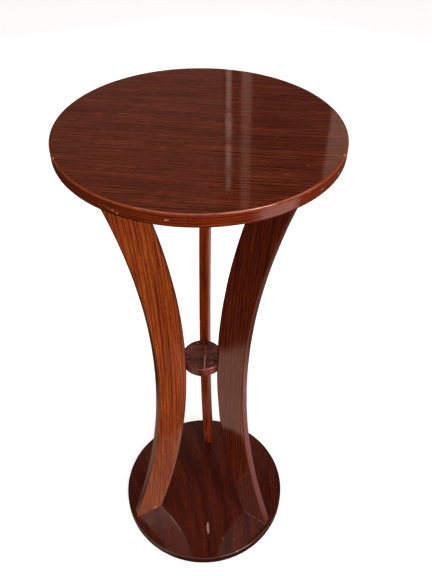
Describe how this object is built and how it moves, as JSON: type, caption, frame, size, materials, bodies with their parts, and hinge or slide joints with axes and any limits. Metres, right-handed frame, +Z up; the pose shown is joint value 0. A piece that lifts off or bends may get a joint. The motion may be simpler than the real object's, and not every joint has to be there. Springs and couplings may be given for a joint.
{
  "type": "pedestal stand",
  "caption": "Tall display stand with a round top and a round base joined by bowed board legs that meet at a small waist disc.",
  "frame": {"origin": "on the floor under the middle of the stand, at the underside of the felt pads", "axes": "+Z up along the stand's axis, +Y towards the back leg, +X to the right seen from the front"},
  "size_m": [0.305, 0.305, 0.716],
  "materials": {
    "panel_core": "raw fibreboard",
    "lipping": "gloss lacquer over red-brown stain",
    "top_veneer": "gloss lacquer over dark red-brown stain",
    "base_veneer": "gloss lacquer over dark red-brown stain",
    "backing_veneer": "satin lacquer",
    "leg_wood": "gloss lacquer over red-brown stain",
    "waist_wood": "gloss lacquer over dark red-brown stain",
    "dowel": "raw beech",
    "screw": "zinc plated",
    "felt": "pressed felt"
  },
  "bodies": {
    "root": {"top_core": "panel_core", "top_lipping": "lipping", "top_face_veneer": "top_veneer", "top_backing_veneer": "backing_veneer", "base_core": "panel_core", "base_lipping": "lipping", "base_face_veneer": "base_veneer", "base_backing_veneer": "backing_veneer", "leg_left": "leg_wood", "leg_right": "leg_wood", "leg_back": "leg_wood", "waist_disc": "waist_wood", "top_dowels": "dowel", "waist_dowels": "dowel", "base_screws": "screw", "felt_pads": "felt"}
  },
  "joints": []
}
